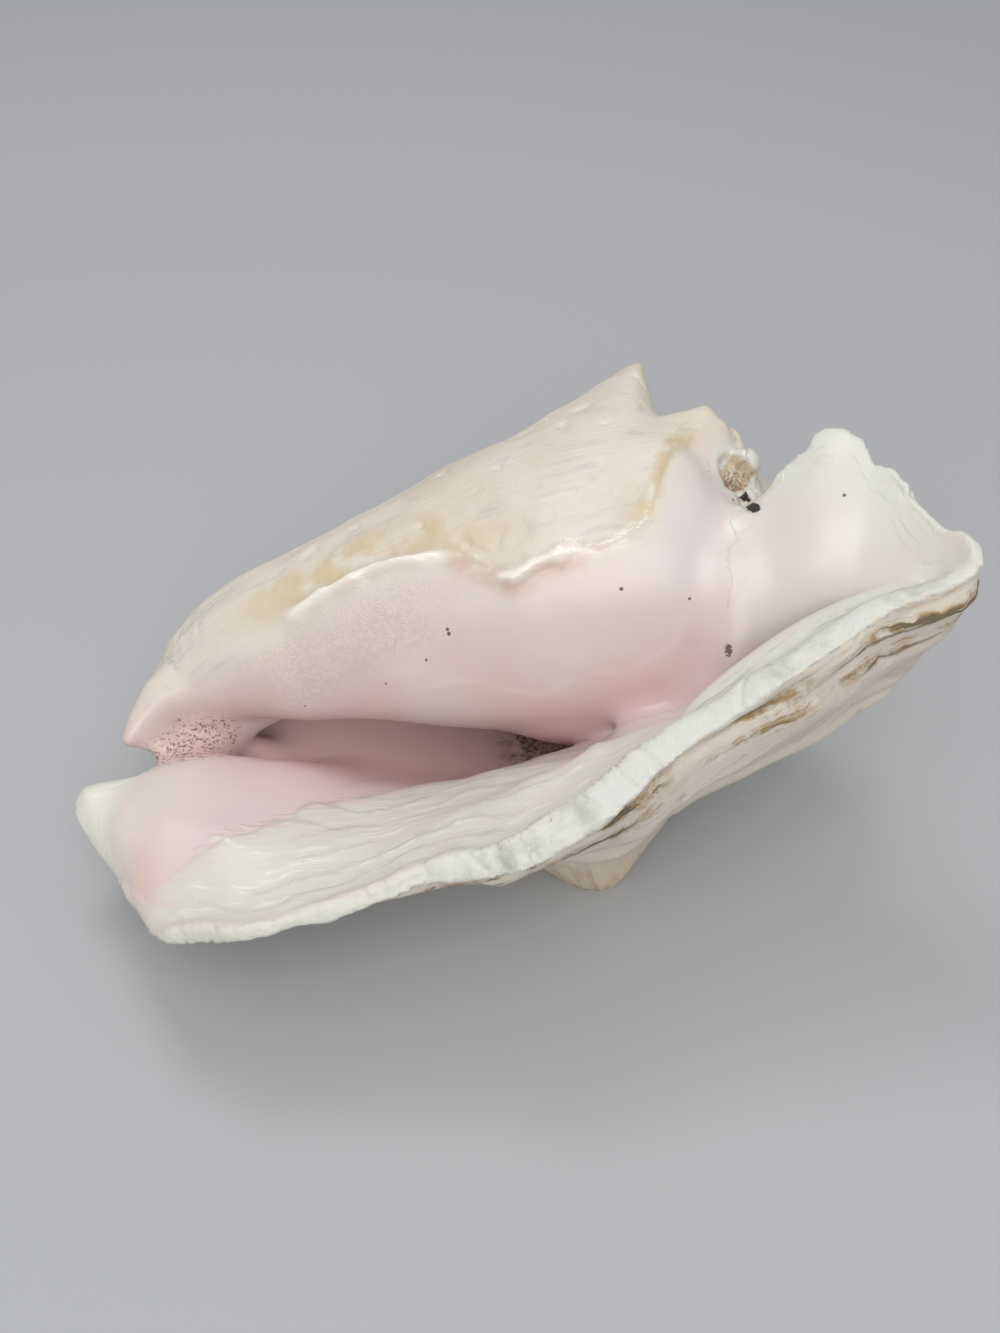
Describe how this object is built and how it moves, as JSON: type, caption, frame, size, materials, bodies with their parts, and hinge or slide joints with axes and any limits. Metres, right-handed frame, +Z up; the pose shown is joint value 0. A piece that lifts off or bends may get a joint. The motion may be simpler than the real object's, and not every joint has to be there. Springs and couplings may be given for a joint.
{
  "type": "conch shell",
  "caption": "Adult conch shell, worn by the sea and lying on its back: long open aperture, broad flared lip, blunt shoulder spines and a knobbly spire.",
  "frame": {"origin": "on the surface the shell lies on, under the middle of its box", "axes": "+X towards the spire, -Y towards the outer lip, +Z up, out of the aperture"},
  "size_m": [0.203, 0.1484, 0.1079],
  "materials": {
    "shell": "chalky and worn outside, glossy pink and cream like porcelain in the aperture"
  },
  "bodies": {
    "root": {"conch_shell": "shell"}
  },
  "joints": []
}
